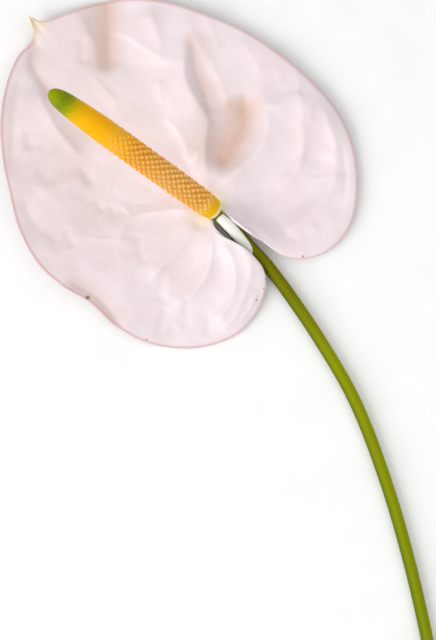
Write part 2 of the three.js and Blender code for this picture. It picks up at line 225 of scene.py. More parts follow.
# %% Floor, softbox and room light
FLOOR_SIZE = 24
FLOOR_DROP = 0.0003
ROOM_LIGHT = 0.5
# The paper's clouds are counted over the whole floor, so 900 of them on 24 m are 27 mm wide each
CLOUDS_ACROSS = 900

bpy.ops.mesh.primitive_plane_add(size=FLOOR_SIZE, location=(0, 0, -FLOOR_DROP))
floor = bpy.context.object
floor.name = "studio_floor"
# Seamless paper is matt, with faint clouds a shade under white
paper, tree, surface = new_material("seamless_paper")
grain = add_node(tree, "ShaderNodeTexNoise", {"Scale": CLOUDS_ACROSS, "Detail": 2})
tint = add_node(tree, "ShaderNodeValToRGB", {"Fac": grain.outputs["Fac"]}, [(0.3, "fbfbfb"), (0.7, "ffffff")])
sheet = add_node(tree, "ShaderNodeBsdfPrincipled", {"Base Color": tint.outputs["Color"], "Roughness": 0.9})
tree.links.new(sheet.outputs["BSDF"], surface)
floor.data.materials.append(paper)


def softbox(name, direction, distance, size, power):
    """A square studio light that points at the flower."""
    place = Vector(direction).normalized() * distance
    bpy.ops.object.light_add(type="AREA", location=place)
    light = bpy.context.object
    light.name = name
    light.rotation_euler = place.to_track_quat("Z", "Y").to_euler()
    light.data.size = size
    light.data.energy = power
    print(name, "at", [round(side, 2) for side in place], "m")


softbox("key_light", direction=(-1.2, -0.75, 1.15), distance=1.6, size=1.4, power=16.3)
softbox("top_fill", direction=(0.25, 0.16, 1), distance=0.75, size=0.8, power=1.6)
world = bpy.data.worlds.new("studio_room")
world.use_nodes = True
room = world.node_tree.nodes["Background"]
room.inputs["Color"].default_value = (1, 1, 1, 1)
room.inputs["Strength"].default_value = ROOM_LIGHT
bpy.context.scene.world = world
bpy.context.scene.view_settings.view_transform = "Standard"

# %% [markdown]
# ## Ridges and valleys
#
# A spathe is quilted: ribs run out from the joint, and creases lie between them. Each fold is a
# line in plan, from the joint outward, with a height and a spread to its left and right. Its
# crest is a narrow bend with slopes that fade on both sides, so one face takes the light and the
# other lies in shade, and a smaller spread makes a steeper face.

# %% Folds of the blade
FOLDS = [
    # The lip above the spadix, and the crease that it drops into further out
    (
        [(-3.2, 12.4), (-4, 18.4), (-4, 28.4), (-3.2, 37.2), (-8, 44.4), (-12.4, 54.4), (-11.2, 70.4)],
        2.8, 9, 3.5,
    ),
    ([(-1.4, 33), (-2.4, 40), (-4.8, 48.4), (-7.8, 57), (-8.8, 65), (-12, 76.4)], -1.8, 3, 8),
    # The rib that bends in a knee, and the broad valley below it
    (
        [(-1.2, 35.6), (2, 38), (4.4, 41.6), (3.8, 47.4), (1, 54.4), (-5.2, 64.4), (-9, 71), (-14, 79)],
        1.8, 6, 9,
    ),
    ([(1.6, 13), (3.6, 20.4), (7.2, 27), (10.4, 32.4), (11.8, 38), (11.6, 44), (10.8, 50)], -2.8, 10, 4.5),
    # Ribs of the upper lobe
    ([(1.6, 9.6), (10, 17.8), (16.8, 23.4), (20.2, 30.4), (21, 36), (20.4, 42.8), (18, 52)], 2.6, 3.6, 9),
    (
        [(20, 6), (28.4, 12.4), (33, 17.4), (35, 23), (35.2, 30), (34.8, 36), (35, 42.6), (33, 52)],
        2.2, 3.8, 8,
    ),
    ([(42, 18.4), (47, 21.6), (48.4, 25.6), (46.8, 30.8), (44.8, 36.4), (44, 44)], 1.6, 3.6, 3.6),
    ([(26, -10), (34.8, -3.6), (40, 0.8), (44.4, 5.6), (47.4, 11), (48.2, 15.4), (45.4, 20)], 1.9, 4.4, 4),
    ([(50, 30), (52, 18), (51.6, 6), (47, -5)], -0.8, 2.6, 2.8),
    ([(3.4, 3.2), (8.4, 0.6), (12.4, -3), (18.4, -7.8), (26, -14)], 0.9, 3.6, 2.4),
    # The broad valley near the tip, and the shoulders on either side of it
    ([(-42.8, 52), (-42.8, 57.4), (-43, 64.4), (-43, 72.4), (-43.6, 94)], -2.5, 8, 4.5),
    ([(-47.6, 50), (-47.4, 59.6), (-48.6, 66), (-51.4, 71.6), (-55, 80)], 1, 5, 3),
    ([(-21.6, 57), (-22, 63), (-22.4, 67.2), (-24, 73), (-27, 82)], 1.3, 6, 2.6),
    # The bent crease behind the tip, and the ridge that runs from it past the spadix's end
    ([(-64, 41), (-67.6, 49), (-71.4, 54.6), (-73.4, 59.6), (-72, 65.4), (-69.6, 71)], -1.6, 2.2, 3.4),
    ([(-52, 19), (-58.4, 26.6), (-64, 33.6), (-68, 41.6), (-72.4, 52)], 1.6, 6, 2.4),
    # Groove inside the left margin, and the soft folds beside it
    ([(-80, 12), (-81.2, 22), (-80.6, 34), (-79.2, 46), (-76, 57)], -1, 2.2, 5),
    ([(-50, 14.4), (-58, 11.8), (-66.8, 8.4), (-71, 5)], 1.2, 3, 3),
    ([(-58, -13), (-66, -10.4), (-73.6, -3), (-77, 9)], -1, 4, 4),
    # Ribs of the lower lobe, in a fan round the joint
    ([(-4, 0), (-14, 0.8), (-23.2, 0), (-30.8, -1.6), (-36, -5.2), (-38.4, -10.8), (-38, -17)], 1.7, 2.6, 5),
    ([(-5, -3), (-9.2, -8.4), (-12.8, -13.6), (-17.2, -18.4), (-22, -22.8), (-27, -30)], 2, 3.4, 3.6),
    (
        [(-3.6, -4), (-1.8, -10), (-1.2, -16), (-2.4, -23), (-6, -30), (-12, -35.6), (-21, -38.8)],
        2.3, 3.4, 4.4,
    ),
    ([(0, -8), (4.8, -15.6), (7.6, -22), (8, -28.8), (6.4, -35.6), (2.8, -42), (-4, -48)], 2, 3.6, 3.2),
    ([(7, -12), (12.8, -18), (14.4, -24), (13.2, -30), (11.2, -35.6), (8.4, -42), (1, -50)], 1.3, 3.2, 3),
    # The rolled edge at the waist of the lower left margin
    ([(-62, -27), (-52.8, -31), (-46.4, -35.4), (-41.6, -41), (-36, -48)], -1.6, 5, 2.2),
]
FINE_FOLDS = [
    # Thin raised veins, soft dimples and small creases that are too fine for the solid model
    ([(-44, 72.4), (-36, 70.4), (-28, 65.2), (-22.8, 61.6), (-17, 59)], 0.6, 2, 0.6),
    ([(20, 42.4), (25, 42), (29, 43.4), (34.6, 48)], 0.8, 2, 1),
    ([(33, 56), (33.2, 50), (33.8, 44)], 0.5, 0.7, 0.9),
    ([(34, 21.6), (41.2, 20.4), (49, 20.8)], -0.8, 2.4, 2.4),
    ([(-38, 42), (-44, 48.4), (-50, 55)], 0.5, 2, 1.2),
    ([(-53.6, 58), (-53.2, 64.4), (-53, 71)], -0.8, 1.8, 1.8),
    ([(-22.6, 53), (-22, 48), (-21.6, 43)], 0.4, 1.8, 1.2),
    ([(-19.6, 38), (-16, 33), (-12.4, 28), (-10.6, 19)], 0.8, 2, 1),
    ([(-6.4, 26), (-7.6, 20), (-9.4, 14)], 0.5, 0.8, 0.5),
    ([(-74.6, 33), (-74.4, 28.4), (-74, 24)], -0.7, 2.4, 2.4),
    ([(-71.4, 18), (-68.8, 14), (-65, 10.6)], -0.6, 2.4, 2.4),
    ([(-54.6, 18), (-52, 14.4), (-49, 10)], -0.7, 2.4, 2.2),
    ([(-48.4, 5.4), (-46.6, 2.4), (-44.6, -1)], -0.7, 2, 2.6),
    ([(-41.6, 3.6), (-40, -1.6), (-36.4, 1.6)], -0.8, 1.6, 2),
    ([(-60.4, -6), (-58.8, -10.8), (-57, -15)], -0.6, 2.4, 2.4),
    ([(-58, -9.6), (-48, -10.8), (-38, -11.6), (-30, -12)], 0.2, 0.6, 0.9),
    ([(-36, 16.4), (-42, 16.8), (-50, 16.2)], 0.2, 0.6, 0.9),
    ([(-52, 3.8), (-58, 3.6), (-64, 2.2)], 0.2, 0.6, 0.9),
    ([(-21.4, -23), (-21.6, -29.6), (-23.4, -37)], -0.5, 2.4, 2),
    ([(-18.4, -22.6), (-18, -29.6), (-19.4, -36)], 0.4, 1.8, 2),
    ([(-30, -8), (-30.4, -16), (-27, -22)], -0.8, 3.4, 3),
    ([(-19.4, -38), (-21, -43), (-22.6, -50)], -0.5, 1.4, 1.2),
    ([(-11.2, -33), (-11.4, -40), (-11.8, -49)], -0.5, 1.4, 1.2),
    ([(-1.8, -42), (-2.6, -46), (-3.4, -51)], -0.5, 1.2, 1),
    ([(1.4, -42), (0.8, -45), (0.6, -49)], -0.4, 1, 1),
    ([(-15.6, -45), (-17, -47), (-18, -51)], -0.5, 1.6, 1.4),
    ([(17.4, -32), (14, -39), (9, -46)], 0.5, 0.8, 1.2),
    ([(20, 0), (27, -6), (34, -14)], -0.6, 3, 3),
    ([(28, -9), (34, -8.6), (42, -6)], 0.5, 2, 2),
    ([(10, 70), (16, 60), (20, 52)], 0.5, 2, 1.6),
    ([(22, 60), (26, 54), (27, 48)], 0.4, 1.6, 1.6),
    ([(-5, 80), (0, 70), (2, 62)], 0.5, 2, 1.6),
    ([(40, 47), (38, 40), (39, 33)], 0.5, 2, 1.6),
]
FOLD_SAMPLES = 25
FOLD_END_FADE = 0.22
FOLD_ROUNDING = 0.6
print(len(FOLDS), "folds and", len(FINE_FOLDS), "fine ones")


def fold_profile(line, left, right, x, y):
    """How strongly one fold shows at each place, from 0 to 1 on its crest."""
    samples = smooth_line(line, FOLD_SAMPLES)
    start, run = samples[:-1], np.diff(samples, axis=0)
    gap_x = x[:, None] - start[:, 0]
    gap_y = y[:, None] - start[:, 1]
    step = np.clip((gap_x * run[:, 0] + gap_y * run[:, 1]) / (run**2).sum(axis=1), 0, 1)
    gap_x -= run[:, 0] * step
    gap_y -= run[:, 1] * step
    distance = np.hypot(gap_x, gap_y)
    near = distance.argmin(axis=1)
    rows = np.arange(len(x))
    side = run[near, 0] * gap_y[rows, near] - run[near, 1] * gap_x[rows, near]
    along = (near + step[rows, near]) / len(run)
    ends = smoothstep(np.minimum(along, 1 - along), 0, FOLD_END_FADE)
    rounded = np.hypot(distance[rows, near], FOLD_ROUNDING) - FOLD_ROUNDING
    return ends * np.exp(-rounded / np.where(side > 0, left, right))


# %% [markdown]
# ## The spathe's surface
#
# A leaf like this can be sculpted from a flat grid. One direction of the grid becomes the turn
# round the margin, from the lower lobe through the tip to the upper lobe, and the other the way
# from the joint out to the edge. Every vertex is then moved to its place and height by the same
# rules as the solid model, with the soft puckers between the ribs added. The blade is a shallow
# bowl whose floor touches the table on both sides of the joint, and its edge curls.

# %% Underside and top of the blade
ROOT_RADIUS = 3.7
ROOT_CENTRE = (-0.6, 0.0)
ROOT_START = 248
ROOT_SWEEP = -226
ROOT_LOW, ROOT_HIGH = 4.3, 6.8
LOBE_END_POWER = 6
SINUS_RISE = 1.2
BOWL_DEPTH = [
    # turn round the margin and depth of the bowl there
    (0, 0), (0.1, 0.8), (0.2, 3.1), (0.36, 7.9), (0.5, 3), (0.62, 2), (0.74, 3), (0.88, 5.3), (1, 0),
]
BOWL_FLOOR = 0.4
BOWL_POWER = 1.5
EDGE_CURL = [
    # turn round the margin and how far the edge curls up there
    (0, -0.8), (0.12, -0.8), (0.24, 0.7), (0.42, 0.6), (0.5, 0), (0.66, -0.2), (0.8, -1.6), (1, -1),
]
CURL_WIDTH = 3.0
DEEPEST = -0.35
LEFT_SINUS_BOW = (-1.65, -2.0)
RIGHT_SINUS_BOW = (-0.4, -0.45)
SINUS_BOW_REACH = 0.32
BOW_PEAK = 27 / 256
BLADE_THICKNESS = 1.0
CUSP_RISE = 4.0
CUSP_SPREAD = 0.012
CUSP_POWER = 45
TIP_ZONE = (0.14, 0.06)
TIP_DEGREES = (90, 181)
TIP_ROUNDING = 5
FOLD_START_SHARE = 0.12
PUCKER_HEIGHT = 0.38
PUCKER_SIZE = 11.0
SMALL_PUCKER_HEIGHT = 0.5
SMALL_PUCKER_SIZE = 0.45 * PUCKER_SIZE
SMALL_PUCKER_LAYER = 9
CREASE_SHADE_BREADTH = 0.6


def eased(points, place):
    """Eases from each (place, value) point to the next."""
    (start, value), *others = points
    total = value
    for end, next_value in others:
        total = total + (next_value - value) * smoothstep(place, start, end)
        start, value = end, next_value
    return total


def margin_point(turn):
    """Place of the margin for each turn from 0 to 1, with the tip at one half."""
    spots = np.linspace(0, 1, len(left_margin))
    left = [np.interp(2 * turn, spots, left_margin[:, axis]) for axis in range(3)]
    right = [np.interp(2 * turn - 1, spots, right_margin[:, axis]) for axis in range(3)]
    return np.where(turn < 0.5, left, right)


def rounded_share(turn, share, x, y):
    """Share outward for the heights, with the tip rounded off so that no crease runs to it."""
    degrees = np.arange(*TIP_DEGREES)
    rim = np.vstack([left_margin[::-1], right_margin[::-1]])
    rim_angle = np.degrees(np.arctan2(rim[:, 1], rim[:, 0]))
    order = np.argsort(rim_angle)
    reach = np.interp(degrees, rim_angle[order], np.hypot(rim[order, 0], rim[order, 1]))
    nearness = np.exp(-(((degrees[:, None] - degrees) / TIP_ROUNDING) ** 2))
    smooth_reach = nearness @ reach / nearness.sum(axis=1)
    round_share = np.hypot(x, y) / np.interp(np.degrees(np.arctan2(y, x)), degrees, smooth_reach)
    return share + (round_share - share) * smoothstep(np.abs(turn - 0.5), *TIP_ZONE)


def blade_plan(turn, share, margin):
    """Where each place of the blade lies in plan."""
    angle = np.radians(ROOT_START + ROOT_SWEEP * turn)
    bow = share * (1 - share) ** 3 / BOW_PEAK
    left_bow = bow * np.maximum(0, 1 - turn / SINUS_BOW_REACH)
    right_bow = bow * np.maximum(0, 1 - (1 - turn) / SINUS_BOW_REACH)
    x = (1 - share) * (ROOT_CENTRE[0] + ROOT_RADIUS * np.cos(angle)) + share * margin[0]
    y = (1 - share) * (ROOT_CENTRE[1] + ROOT_RADIUS * np.sin(angle)) + share * margin[1]
    x += LEFT_SINUS_BOW[0] * left_bow + RIGHT_SINUS_BOW[0] * right_bow
    y += LEFT_SINUS_BOW[1] * left_bow + RIGHT_SINUS_BOW[1] * right_bow
    return x, y


def fold_relief(x, y):
    """Height of the folds at each place, and how deep in a valley it lies."""
    relief, valley = np.zeros_like(x), np.zeros_like(x)
    for line, height, left, right in FOLDS + FINE_FOLDS:
        shown = fold_profile(line, left, right, x, y)
        relief += height * shown
        if height < 0:
            valley = np.maximum(valley, -height * shown**CREASE_SHADE_BREADTH)
    return relief, valley


def puckers(x, y):
    """Soft swellings between the ribs, large ones with small ones on them."""
    large = [noise.noise(Vector((a, b, 0)) / PUCKER_SIZE) for a, b in zip(x, y)]
    small = [noise.noise(Vector((a, b, SMALL_PUCKER_LAYER)) / SMALL_PUCKER_SIZE) for a, b in zip(x, y)]
    return PUCKER_HEIGHT * (np.array(large) + SMALL_PUCKER_HEIGHT * np.array(small))


def blade_surface(turn, share):
    """Plan, underside height and valley depth for each turn round the margin and share outward."""
    margin = margin_point(turn)
    x, y = blade_plan(turn, share, margin)
    relief, valley = fold_relief(x, y)
    relief += puckers(x, y)
    near_end = np.abs(2 * turn - 1) ** LOBE_END_POWER
    root_z = ROOT_LOW + (ROOT_HIGH - ROOT_LOW) * near_end
    out = rounded_share(turn, share, x, y)
    slope = root_z + (margin[2] - root_z) * out
    bowl = (out / BOWL_FLOOR) * (np.maximum(0, 1 - out) / (1 - BOWL_FLOOR)) ** BOWL_POWER
    curl = eased(EDGE_CURL, turn) * np.exp(-np.hypot(margin[0] - x, margin[1] - y) / CURL_WIDTH)
    cusp = CUSP_RISE * np.exp(-(((turn - 0.5) / CUSP_SPREAD) ** 2)) * share**CUSP_POWER
    sinus = 4 * SINUS_RISE * near_end * share * (1 - share)
    z = slope + sinus - eased(BOWL_DEPTH, turn) * bowl + curl + cusp
    z += relief * smoothstep(share, 0, FOLD_START_SHARE)
    return x, y, np.maximum(DEEPEST, z), valley


# %% [markdown]
# ## The blade's grid
#
# The rules give the height of the underside. The moved grid is the blade's upper side, so it lies
# one thickness above that.

# %% Grid moved on to the blade
BLADE_COLUMNS = 400
BLADE_ROWS = 108

bpy.ops.object.select_all(action="DESELECT")
bpy.ops.mesh.primitive_grid_add(x_subdivisions=BLADE_COLUMNS, y_subdivisions=BLADE_ROWS, size=1)
spathe = bpy.context.object
spathe.name = "spathe_blade"
flat = np.empty(3 * len(spathe.data.vertices))
spathe.data.vertices.foreach_get("co", flat)
turn = flat[::3] + 0.5
share = flat[1::3] + 0.5
x, y, underside, valley = blade_surface(turn, share)
margin = margin_point(turn)
edge_distance = np.hypot(margin[0] - x, margin[1] - y)
top = np.stack([x, y, underside + BLADE_THICKNESS], axis=1)
spathe.data.vertices.foreach_set("co", in_frame(top).ravel())
spathe.data.update()
print("spathe grid:", len(spathe.data.polygons), "faces")

# %% [markdown]
# ## Thickness
#
# The real blade is about a millimetre thick. Solidify gives the sheet its underside, which is then
# pressed flat where it would reach below the table. The margin stays a plain square edge. Before
# that, each vertex keeps how deep in a crease and how near the edge and the joint it lies.

# %% Solidify and press flat
CREASE_SHADE_START, CREASE_SHADE_SPAN = 0.8, 2.0
BLADE_SMOOTH_ANGLE = 50


def keep_number(piece, name, values):
    """Stores one number for each vertex, for the materials to read."""
    attribute = piece.data.attributes.new(name, "FLOAT", "POINT")
    attribute.data.foreach_set("value", np.asarray(values, float))


# How deep in a crease each vertex lies sets the strength of the painted crease shade
keep_number(spathe, "valley", np.clip((valley - CREASE_SHADE_START) / CREASE_SHADE_SPAN, 0, 1))
keep_number(spathe, "edge_distance", edge_distance)
keep_number(spathe, "share_out", share)

bpy.ops.object.mode_set(mode="EDIT")
bpy.ops.mesh.select_all(action="SELECT")
bpy.ops.mesh.normals_make_consistent(inside=False)
bpy.ops.object.mode_set(mode="OBJECT")
up = sum(face.normal.z for face in spathe.data.polygons) > 0
if not up:
    spathe.data.flip_normals()
solid = spathe.modifiers.new("thickness", "SOLIDIFY")
solid.thickness = BLADE_THICKNESS * MM
solid.offset = -1
bpy.ops.object.modifier_apply(modifier=solid.name)
for vertex in spathe.data.vertices:
    vertex.co.z = max(0, vertex.co.z)
bpy.ops.object.shade_smooth_by_angle(angle=math.radians(BLADE_SMOOTH_ANGLE))
print("spathe solid:", len(spathe.data.polygons), "faces")

# %% [markdown]
# ## The spadix
#
# Its core is a body of revolution. The florets sit on it in slanting rows, each ring turned half a
# floret against the last, so one floret is modelled and copied to every second place of the
# lattice. They are prominent near the root and flatten towards the green, unripe tip.

# %% Core of the spadix
SPADIX_LENGTH = 86.4
SPADIX_LEAN = 22
SPADIX_HEADING = 144.8
SEAM = 0.3
FLORETS_ROUND = 11
FLORET_ROWS = 58
FLORET_DEPTH = 0.75
FLORET_TWIST = 0.035
STIPE_LENGTH = 5.8
FLORETS_START, FLORETS_FULL = STIPE_LENGTH - 1.5, STIPE_LENGTH + 3
FULL_DEPTH_RADIUS = 3
RIPE_END, SMOOTH_START = 42, 60
CORE_SIDES = 64
CORE_RINGS = 160
MERGE_DISTANCE = 0.000001
SPADIX_PROFILE = [
    (0, 3.1), (0.9, 3.8), (4, 4.6), (8.5, 5.15), (16, 5.3), (24, 5.4), (50, 5.35), (64, 5), (74, 4.5),
    (79.6, 4), (83, 3.3), (85, 2.3), (86, 1.2), (SPADIX_LENGTH, 0.3),
]
heading, lean = math.radians(SPADIX_HEADING), math.radians(SPADIX_LEAN)
to_spadix = np.array(Matrix.Rotation(heading, 3, "Z") @ Matrix.Rotation(-lean, 3, "Y"))
spadix_start = SPADIX_FOOT + SEAM * to_spadix[:, 0]


def floret_depth(along, radius):
    """Depth of the gaps between florets: none on the stipe, and none near the unripe tip."""
    ripeness = 1 - smoothstep(along, RIPE_END, SMOOTH_START)
    start = smoothstep(along, FLORETS_START, FLORETS_FULL)
    return FLORET_DEPTH * start * ripeness * np.minimum(1, radius / FULL_DEPTH_RADIUS)


def place_on_spadix():
    """The matrix that takes metres along the spadix's own axis to its place on the flower."""
    return Matrix.Translation(in_frame(spadix_start)) @ Matrix(to_spadix.tolist()).to_4x4()


def one_vertex(name, place):
    """A new piece that starts as a single vertex, in edit mode, ready to be extruded."""
    bpy.ops.object.select_all(action="DESELECT")
    bpy.ops.mesh.primitive_plane_add(size=1)
    piece = bpy.context.object
    piece.name = name
    bpy.ops.object.mode_set(mode="EDIT")
    bpy.ops.mesh.select_all(action="SELECT")
    bpy.ops.mesh.merge(type="CENTER")
    bpy.ops.transform.translate(value=place)
    return piece


profile = smooth_line(SPADIX_PROFILE, CORE_RINGS)
core_radius = profile[:, 1] - floret_depth(profile[:, 0], profile[:, 1])
core_radius[0] = core_radius[-1] = 0
steps = np.stack([profile[:, 0], core_radius, np.zeros(CORE_RINGS)], axis=1) * MM
core = one_vertex("spadix_core", steps[0])
for step in np.diff(np.insert(steps, 1, (0, SPADIX_PROFILE[0][1] * MM, 0), axis=0), axis=0):
    bpy.ops.mesh.extrude_region_move(TRANSFORM_OT_translate={"value": step})
bpy.ops.mesh.select_all(action="SELECT")
bpy.ops.mesh.spin(steps=CORE_SIDES, angle=2 * math.pi, center=(0, 0, 0), axis=(1, 0, 0))
bpy.ops.mesh.select_all(action="SELECT")
bpy.ops.mesh.remove_doubles(threshold=MERGE_DISTANCE)
bpy.ops.mesh.normals_make_consistent(inside=False)
bpy.ops.object.mode_set(mode="OBJECT")


def keep_along(piece):
    """Stores how far along the spadix each vertex lies, in millimetres."""
    places = np.empty(3 * len(piece.data.vertices))
    piece.data.vertices.foreach_get("co", places)
    keep_number(piece, "along", places[::3] / MM)


keep_along(core)
along = np.array([item.value for item in core.data.attributes["along"].data])
keep_number(core, "lift", 1 - floret_depth(along, FULL_DEPTH_RADIUS) / FLORET_DEPTH)
core.data.transform(place_on_spadix())
bpy.ops.object.shade_smooth()
print("spadix core:", len(core.data.polygons), "faces")

# %% [markdown]
# ## One floret
#
# Each floret is a low four-cornered pad, the closed tepals, with a round knob in the middle, the
# stigma that pokes through them. It starts as an eight-sided frustum. Its top face is inset three
# times, over the pad and up the wall of the knob, and then poked up to a rounded top.

# %% Model one floret
# Widths are in steps of the lattice, and the heights add up to 1 at the top of the knob
PAD_SIDES = 8
PAD_TOP = 0.86
PAD_HEIGHT = 0.25
PAD_WAIST = 0.8
FLORET_INSETS = [(0.42, 0.16), (0.04, 0.3), (0.08, 0.2)]
KNOB_TOP_RISE = 0.09
KNOB_FOOT = 0.6
FACING_UP = 0.9

bpy.ops.object.select_all(action="DESELECT")
bpy.ops.mesh.primitive_cone_add(
    vertices=PAD_SIDES, radius1=1, radius2=PAD_TOP, depth=PAD_HEIGHT, location=(0, 0, PAD_HEIGHT / 2)
)
floret = bpy.context.object
floret.name = "floret"
bpy.ops.object.transform_apply(location=True)
bpy.ops.object.mode_set(mode="EDIT")
bpy.ops.mesh.select_mode(type="FACE")
bpy.ops.mesh.select_all(action="DESELECT")
bpy.ops.object.mode_set(mode="OBJECT")
for face in floret.data.polygons:
    face.select = face.normal.z > FACING_UP
bpy.ops.object.mode_set(mode="EDIT")
for thickness, depth in FLORET_INSETS:
    bpy.ops.mesh.inset(thickness=thickness, depth=depth)
bpy.ops.mesh.poke(offset=KNOB_TOP_RISE)
bpy.ops.object.mode_set(mode="OBJECT")
for vertex in floret.data.vertices:
    if vertex.co.xy.length > KNOB_FOOT:
        four_corners = abs(math.cos(2 * math.atan2(vertex.co.y, vertex.co.x)))
        vertex.co.xy *= PAD_WAIST + (1 - PAD_WAIST) * four_corners
levels = sorted({round(vertex.co.z, 2) for vertex in floret.data.vertices})
print("one floret:", len(floret.data.polygons), "faces, at heights", levels)

# %% [markdown]
# ## The florets on their lattice
#
# The copies follow the same rule as the solid model. Each is wrapped round the core, so that its
# pad lies on the curve, and touches its neighbours. A seeded draw shifts each copy a little and
# varies its height, as in nature.

# %% Copy the floret to every place
FLORET_SUNK = 0.2
FLORET_OVERLAP = 1.05
FLORET_STRAY = 0.1
FLORET_HEIGHTS = (0.85, 1.15)
FLATTEST_FLORET = 0.02
FLORET_SEED = 7
MIDDLE_RING = 20
draw = np.random.default_rng(FLORET_SEED)
lattice = smooth_line(SPADIX_PROFILE, FLORET_ROWS + 1)
ring_gap = math.dist(lattice[MIDDLE_RING], lattice[MIDDLE_RING + 1])
shape = np.array([vertex.co for vertex in floret.data.vertices])
copies = []
for ring in range(FLORET_ROWS - 1):
    along, radius = lattice[ring]
    depth = floret_depth(along, radius)
    if depth < FLATTEST_FLORET:
        continue
    for place in range(ring % 2, 2 * FLORETS_ROUND, 2):
        copy = floret.copy()
        copy.data = floret.data.copy()
        bpy.context.collection.objects.link(copy)
        stray_along, stray_round = draw.uniform(-FLORET_STRAY, FLORET_STRAY, 2)
        spot = along + (shape[:, 0] * FLORET_OVERLAP + stray_along) * ring_gap
        turned = place + stray_round - shape[:, 1] * FLORET_OVERLAP
        angle = FLORET_TWIST * ring + math.pi * turned / FLORETS_ROUND
        height = depth * (shape[:, 2] - FLORET_SUNK) / (1 - FLORET_SUNK) * draw.uniform(*FLORET_HEIGHTS)
        reach = np.interp(spot, profile[1:-1, 0], core_radius[1:-1]) + height
        wrapped = np.stack([spot, -reach * np.sin(angle), reach * np.cos(angle)], axis=1)
        copy.data.vertices.foreach_set("co", (wrapped * MM).ravel())
        keep_number(copy, "lift", 1 - (1 - shape[:, 2]) * depth / FLORET_DEPTH)
        keep_along(copy)
        copies.append(copy)
bpy.data.objects.remove(floret)
bpy.ops.object.select_all(action="DESELECT")
for copy in copies:
    copy.select_set(True)
bpy.context.view_layer.objects.active = copies[0]
bpy.ops.object.join()
florets = bpy.context.object
florets.name = "spadix_florets"
florets.data.transform(place_on_spadix())
bpy.ops.object.shade_smooth()
print("florets:", len(copies), "with", len(florets.data.polygons), "faces")

# %% [markdown]
# ## The stem
#
# A stem is drawn as a curve with a round bevel. The radius at each point gives it the slim end at
# the joint and the swelling behind it. It leaves the joint in line with the spadix, sinks on to
# the table and lies there. The florist's cut is a bisect by a slanted plane.

# %% Draw the stem and cut its end
STEM_ROUTE = [
    (0.45, -1.55), (2.9, -3.5), (5.7, -6), (9.3, -9.8), (13.7, -14.3), (19.6, -20.2), (24.6, -26.4),
    (30.6, -34.6), (42, -51.6), (55.8, -75.6), (68.2, -107.6), (77.6, -139.6), (85, -171.6),
    (90, -198.4), (93.6, -231.6), (96, -264.8), (97, -282),
]
STEM_RADIUS = 2.5
SWELLING, SWELLING_PLACE = 0.45, 11
NECK_DEPTH, NECK_LENGTH = 0.35, 4
STEM_POINTS = 240
STEM_ROUNDNESS = 6
STEM_SMOOTH_ANGLE = 40
CUT_SLANT = 0.8
CUT_RIM = 0.4
PAST_CUT = 4

route = smooth_line(STEM_ROUTE, STEM_POINTS)
along_stem = np.concatenate([[0], np.cumsum(np.linalg.norm(np.diff(route, axis=0), axis=1))])
drop = JOINT_HEIGHT - STEM_RADIUS
drop_length = 2 * drop / math.tan(lean)
stem_height = STEM_RADIUS + drop * np.maximum(0, 1 - along_stem / drop_length) ** 2
swelling = SWELLING * np.exp(-(((along_stem - SWELLING_PLACE) / SWELLING_PLACE) ** 2))
neck = NECK_DEPTH * np.exp(-((along_stem / NECK_LENGTH) ** 2))
stem_radius = STEM_RADIUS + swelling - neck
stem_centre = np.column_stack([route, stem_height])
stem_end = stem_centre[-1]
stem_heading = stem_centre[-1] - stem_centre[-2]
stem_heading /= np.linalg.norm(stem_heading)
beyond = stem_end + PAST_CUT * stem_heading

bpy.ops.object.select_all(action="DESELECT")
bpy.ops.curve.primitive_bezier_curve_add()
stem = bpy.context.object
stem.name = "stem_stalk"
line = stem.data
line.dimensions = "3D"
line.splines.clear()
spline = line.splines.new("POLY")
spline.points.add(STEM_POINTS)
for point, place, radius in zip(
    spline.points, np.vstack([stem_centre, beyond]), np.append(stem_radius, STEM_RADIUS)
):
    point.co = (*in_frame(place), 1)
    point.radius = radius
line.bevel_depth = MM
line.bevel_resolution = STEM_ROUNDNESS
line.use_fill_caps = True
bpy.ops.object.convert(target="MESH")
stem = bpy.context.object
right = np.cross(stem_heading, (0, 0, 1))
bpy.ops.object.mode_set(mode="EDIT")
bpy.ops.mesh.select_all(action="SELECT")
bpy.ops.mesh.remove_doubles(threshold=MERGE_DISTANCE)
bpy.ops.mesh.bisect(
    plane_co=in_frame(stem_end), plane_no=stem_heading - CUT_SLANT * right, use_fill=True, clear_outer=True
)
bpy.ops.mesh.inset(thickness=CUT_RIM * MM, depth=0)
bpy.ops.mesh.select_all(action="SELECT")
bpy.ops.mesh.normals_make_consistent(inside=False)
bpy.ops.object.mode_set(mode="OBJECT")
bpy.ops.object.shade_smooth_by_angle(angle=math.radians(STEM_SMOOTH_ANGLE))
print("stem:", len(stem.data.polygons), "faces,", round(along_stem[-1]), "mm long")

# %% [markdown]
# ## Places on the stem
#
# The finish needs to know where on the stem it is. Each vertex keeps how far along and across it
# lies, its angle round the stem, and how deep inside the painted highlight on the neck it is.

# %% Numbers along and across the stem for its finish
NECK_HIGHLIGHT = [
    # distance along the stem, and the painted highlight's left and right edge across it, in mm
    (0.2, -1.2, 1.2), (0.8, -1.8, 1.85), (6, -2.15, 2.4), (12, -1.9, 2.45), (17, -1.25, 2.5),
    (19.5, -0.4, 2.3), (20.6, 0.6, 1.5), (21.2, 2, 0),
]
places = np.empty(3 * len(stem.data.vertices))
stem.data.vertices.foreach_get("co", places)
places = places.reshape(-1, 3) / MM - (joint_x, joint_y, 0)
nearest = np.linalg.norm(places[:, None, :] - stem_centre[None, :, :], axis=2).argmin(axis=1)
run = np.gradient(stem_centre, axis=0)
run /= np.linalg.norm(run, axis=1)[:, None]
to_right = np.cross(run, (0, 0, 1))
to_right /= np.linalg.norm(to_right, axis=1)[:, None]
outward = places - stem_centre[nearest]
across = (outward * to_right[nearest]).sum(axis=1)
keep_number(stem, "along", along_stem[nearest])
keep_number(stem, "across", across)
keep_number(stem, "around", np.arctan2(across, outward[:, 2]))
highlight_along, highlight_left, highlight_right = zip(*NECK_HIGHLIGHT)
left_depth = across - np.interp(along_stem[nearest], highlight_along, highlight_left, left=STEM_RADIUS)
